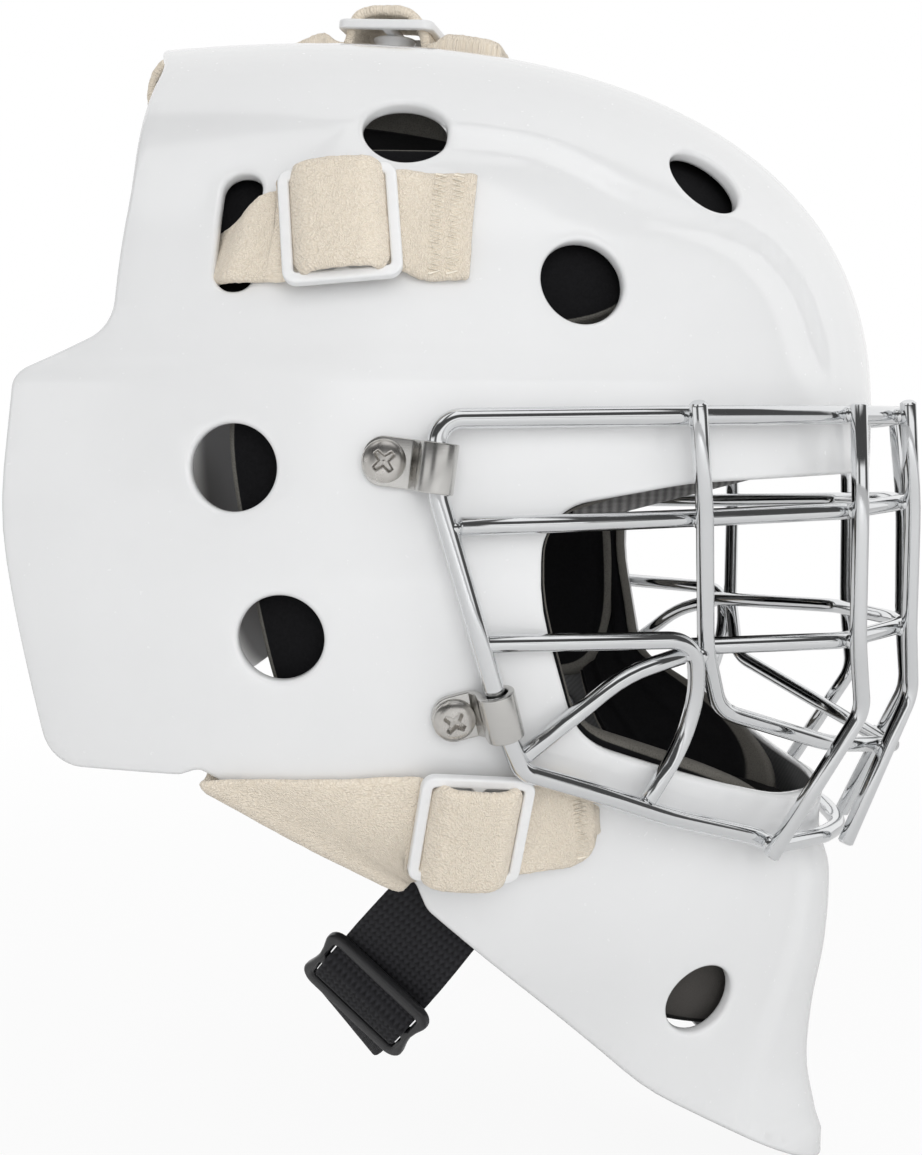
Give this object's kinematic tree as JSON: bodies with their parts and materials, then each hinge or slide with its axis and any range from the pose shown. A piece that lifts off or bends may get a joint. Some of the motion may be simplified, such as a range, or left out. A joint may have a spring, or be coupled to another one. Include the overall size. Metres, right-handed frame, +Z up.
{
  "type": "hockey goalie mask",
  "caption": "Hard-shell goalie mask with a welded wire cage, foam liner, elastic harness with a hinged back plate, and a chin strap with a slider.",
  "frame": {"origin": "middle of the head cavity, on the mirror plane, level with the ear pads", "axes": "+Z up, the face looks along -Y, +X is the wearer's left; the mirror plane is X = 0"},
  "size_m": [0.2264, 0.2009, 0.2973],
  "materials": {
    "shell_plastic": "smooth glossy moulded shell",
    "cage_chrome": "bright chrome plating over welded steel wire",
    "clip_steel": "brushed stainless strip",
    "screw_steel": "brushed domed heads",
    "nut_steel": "zinc-plated, dull",
    "rivet_steel": "nickel-plated",
    "elastic": "ribbed woven elastic, off-white",
    "buckle_plastic": "glossy moulded white",
    "stud_plastic": "glossy light grey",
    "plate_plastic": "satin moulded white",
    "webbing": "woven black webbing",
    "slider_plastic": "satin black moulded",
    "sweatband_knit": "ribbed grey knit",
    "chin_fabric": "grey brushed fabric over foam",
    "hook_and_loop": "black hook-and-loop",
    "jaw_foam": "dark grey-brown faced foam",
    "liner_foam": "black faced foam"
  },
  "bodies": {
    "mask": {"shell": "shell_plastic", "cage_rim": "cage_chrome", "cage_eye_bar": "cage_chrome", "cage_lower_bar": "cage_chrome", "cage_outer_loop": "cage_chrome", "cage_inner_post_left": "cage_chrome", "cage_inner_post_right": "cage_chrome", "cage_centre_post_left": "cage_chrome", "cage_centre_post_right": "cage_chrome", "cage_hook_left": "cage_chrome", "cage_hook_right": "cage_chrome", "cage_brace_left": "cage_chrome", "cage_brace_right": "cage_chrome", "clip_upper_left": "clip_steel", "clip_upper_right": "clip_steel", "clip_lower_left": "clip_steel", "clip_lower_right": "clip_steel", "cage_screws": "screw_steel", "cage_t_nuts": "nut_steel", "top_strap": "elastic", "upper_strap_left": "elastic", "upper_strap_right": "elastic", "lower_strap_left": "elastic", "lower_strap_right": "elastic", "top_buckle": "buckle_plastic", "upper_buckle_left": "buckle_plastic", "upper_buckle_right": "buckle_plastic", "lower_buckle_left": "buckle_plastic", "lower_buckle_right": "buckle_plastic", "buckle_studs": "stud_plastic", "chin_strap_snaps": "rivet_steel", "brow_pad": "liner_foam", "sweatband": "sweatband_knit", "crown_pad_left": "liner_foam", "crown_pad_right": "liner_foam", "side_pad_left": "liner_foam", "side_pad_right": "liner_foam", "ear_pad_left": "liner_foam", "ear_pad_right": "liner_foam", "jaw_pad_left": "jaw_foam", "jaw_pad_right": "jaw_foam", "chin_cup": "chin_fabric", "pad_fasteners": "hook_and_loop"},
    "back_plate": {"back_plate": "plate_plastic", "back_plate_pad": "liner_foam", "strap_rivets": "rivet_steel"},
    "chin_strap": {"chin_strap": "webbing", "chin_strap_bight": "webbing"},
    "chin_slider": {"chin_slider": "slider_plastic"}
  },
  "joints": [
    {"name": "back_plate_open", "type": "hinge", "parent": "mask", "child": "back_plate", "pos_m": [0, 0.074, 0.137], "axis": [1, 0, 0], "range_deg": [0, 35], "deforming": ["top_strap", "upper_strap_left", "upper_strap_right", "lower_strap_left", "lower_strap_right"]},
    {"name": "chin_strap_swing", "type": "hinge", "parent": "mask", "child": "chin_strap", "pos_m": [0, -0.01807, -0.05986], "axis": [1, 0, 0], "range_deg": [0, 35]},
    {"name": "chin_slider_slide", "type": "slide", "parent": "chin_strap", "child": "chin_slider", "axis": [-0.6146, -0.5043, 0.6067], "range_m": [-0.005, 0.005], "deforming": ["chin_strap_bight"]}
  ]
}
